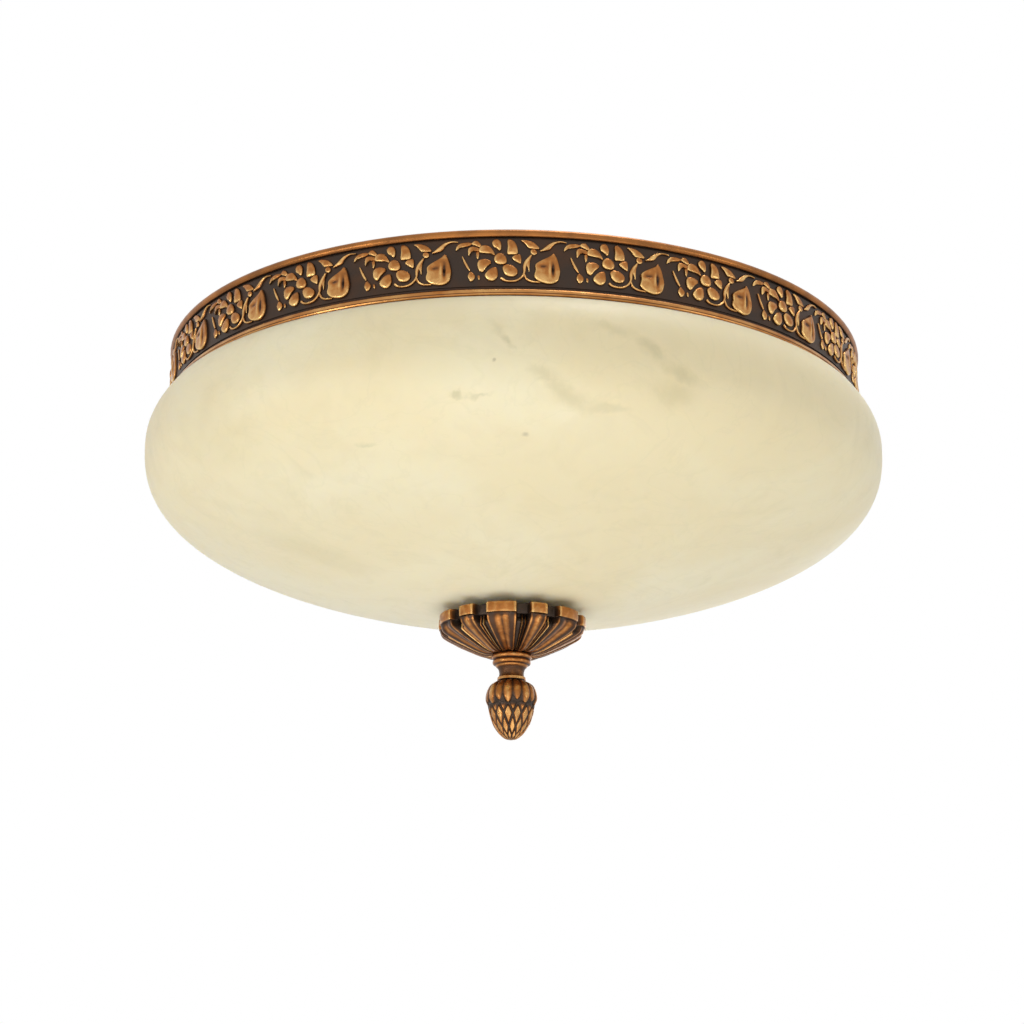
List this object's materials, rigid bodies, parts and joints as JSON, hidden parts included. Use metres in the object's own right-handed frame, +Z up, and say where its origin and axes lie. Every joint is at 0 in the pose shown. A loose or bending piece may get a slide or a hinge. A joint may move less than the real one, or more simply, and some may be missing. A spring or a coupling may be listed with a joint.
{
  "type": "flush ceiling light",
  "caption": "Flush ceiling light: a veined alabaster bowl under a cast brass band with a floral frieze, held up by a fluted cup and an acorn finial.",
  "frame": {"origin": "middle of the crossbar's upper face, on the ceiling plane and the light's axis", "axes": "+Z up into the ceiling, the light hangs to -Z, -Y is the front in the picture"},
  "size_m": [0.45, 0.45, 0.2344],
  "materials": {
    "alabaster": "satin",
    "antique_brass": "antique, worn bright on the high parts",
    "plain_brass": "satin",
    "zinc_steel": "zinc plated",
    "green_steel": "satin",
    "white_enamel": "gloss",
    "porcelain": "glazed",
    "black_rubber": "matte",
    "felt": "matte",
    "cap_metal": "satin",
    "opal_glass": "frosted"
  },
  "bodies": {
    "fixture": {"crossbar": "zinc_steel", "ground_screw": "green_steel", "centre_rod": "zinc_steel", "rod_nuts": "zinc_steel", "back_pan": "white_enamel", "pan_screws": "zinc_steel", "pan_washer": "zinc_steel", "lead_grommet": "black_rubber", "terminal_block": "porcelain", "terminal_screws": "plain_brass", "block_screw": "zinc_steel", "band": "antique_brass", "rim_gasket": "felt", "lamp_bracket": "zinc_steel", "bracket_washer": "zinc_steel", "holder_screws": "zinc_steel", "lampholder_1": "porcelain", "socket_shell_1": "plain_brass", "contact_1": "plain_brass", "lampholder_2": "porcelain", "socket_shell_2": "plain_brass", "contact_2": "plain_brass", "lampholder_3": "porcelain", "socket_shell_3": "plain_brass", "contact_3": "plain_brass"},
    "bowl_body": {"bowl": "alabaster", "seat_washer": "black_rubber"},
    "cup_body": {"finial_cup": "antique_brass", "finial_neck": "antique_brass"},
    "acorn_body": {"acorn": "antique_brass"},
    "bulb_1_tip": {"bulb_tip_1": "cap_metal"},
    "bulb_1": {"bulb_cap_1": "cap_metal", "bulb_glass_1": "opal_glass"},
    "bulb_2_tip": {"bulb_tip_2": "cap_metal"},
    "bulb_2": {"bulb_cap_2": "cap_metal", "bulb_glass_2": "opal_glass"},
    "bulb_3_tip": {"bulb_tip_3": "cap_metal"},
    "bulb_3": {"bulb_cap_3": "cap_metal", "bulb_glass_3": "opal_glass"}
  },
  "joints": [
    {"name": "bowl_lower", "type": "slide", "parent": "fixture", "child": "bowl_body", "axis": [0, 0, 1], "range_m": [-0.18, 0]},
    {"name": "finial_travel", "type": "slide", "parent": "bowl_body", "child": "cup_body", "axis": [0, 0, 1], "range_m": [-0.015, 0]},
    {"name": "finial_turn", "type": "hinge", "parent": "cup_body", "child": "acorn_body", "pos_m": [0, 0, -0.2], "axis": [0, 0, 1], "range_deg": [-5400, 0]},
    {"name": "bulb_1_travel", "type": "slide", "parent": "fixture", "child": "bulb_1_tip", "axis": [0.866, 0.5, 0], "range_m": [0, 0.02178]},
    {"name": "bulb_1_turn", "type": "hinge", "parent": "bulb_1_tip", "child": "bulb_1", "pos_m": [0, 0, -0.062], "axis": [0.866, 0.5, 0], "range_deg": [0, 2160]},
    {"name": "bulb_2_travel", "type": "slide", "parent": "fixture", "child": "bulb_2_tip", "axis": [-0.866, 0.5, 0], "range_m": [0, 0.02178]},
    {"name": "bulb_2_turn", "type": "hinge", "parent": "bulb_2_tip", "child": "bulb_2", "pos_m": [0, 0, -0.062], "axis": [-0.866, 0.5, 0], "range_deg": [0, 2160]},
    {"name": "bulb_3_travel", "type": "slide", "parent": "fixture", "child": "bulb_3_tip", "axis": [0, -1, 0], "range_m": [0, 0.02178]},
    {"name": "bulb_3_turn", "type": "hinge", "parent": "bulb_3_tip", "child": "bulb_3", "pos_m": [0, 0, -0.062], "axis": [0, -1, 0], "range_deg": [0, 2160]}
  ],
  "couplings": [
    {"joint": "finial_turn", "follows": "finial_travel", "rad_per_m": 6283.2},
    {"joint": "bulb_1_turn", "follows": "bulb_1_travel", "rad_per_m": 1730.9},
    {"joint": "bulb_2_turn", "follows": "bulb_2_travel", "rad_per_m": 1730.9},
    {"joint": "bulb_3_turn", "follows": "bulb_3_travel", "rad_per_m": 1730.9}
  ]
}
